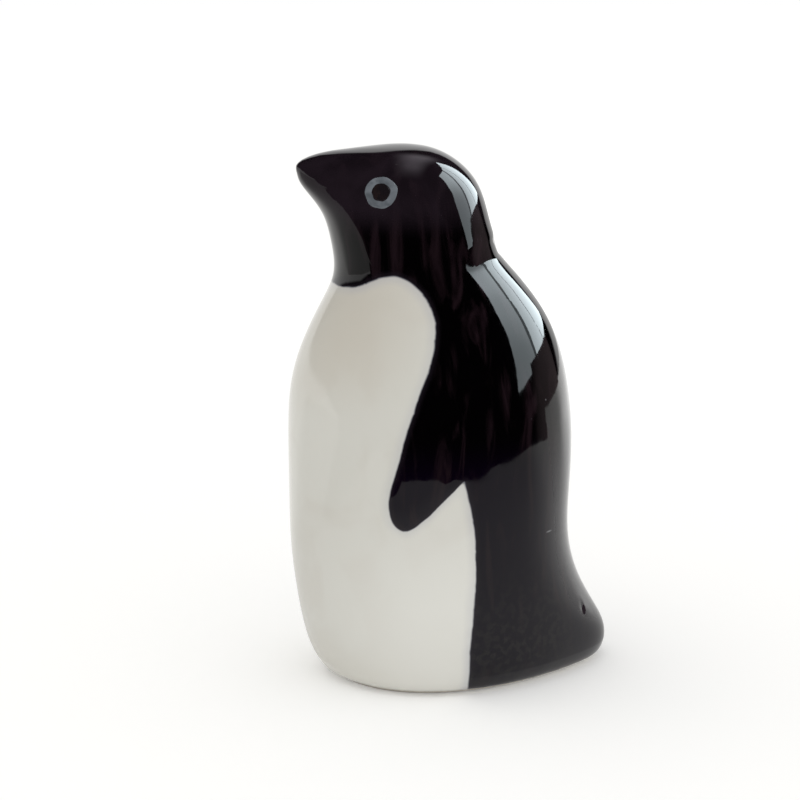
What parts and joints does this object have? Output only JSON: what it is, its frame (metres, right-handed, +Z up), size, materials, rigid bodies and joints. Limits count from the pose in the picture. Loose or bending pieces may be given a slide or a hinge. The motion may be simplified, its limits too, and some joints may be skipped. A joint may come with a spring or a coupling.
{
  "type": "penguin figurine",
  "caption": "Standing penguin ornament: a hollow porcelain casting under white and black glaze, with raised flippers, ringed eyes and a flat foot to stand on.",
  "frame": {"origin": "middle of the figure's overall box, on the plane the foot stands on", "axes": "+Z up, -Y towards the bill and belly, +Y towards the tail, +X towards the figure's own left side"},
  "size_m": [0.0376, 0.0495, 0.0805],
  "materials": {
    "bisque": "unglazed fired porcelain, matt",
    "white_glaze": "glossy warm white glaze",
    "black_glaze": "glossy black glaze",
    "eye_enamel": "blue-grey enamel, satin gloss",
    "pupil_glaze": "glossy dark brown glaze"
  },
  "bodies": {
    "root": {"cast_body": "bisque", "white_glaze": "white_glaze", "black_glaze": "black_glaze", "left_flipper": "black_glaze", "right_flipper": "black_glaze", "left_eye_ring": "eye_enamel", "right_eye_ring": "eye_enamel", "left_pupil": "pupil_glaze", "right_pupil": "pupil_glaze"}
  },
  "joints": []
}
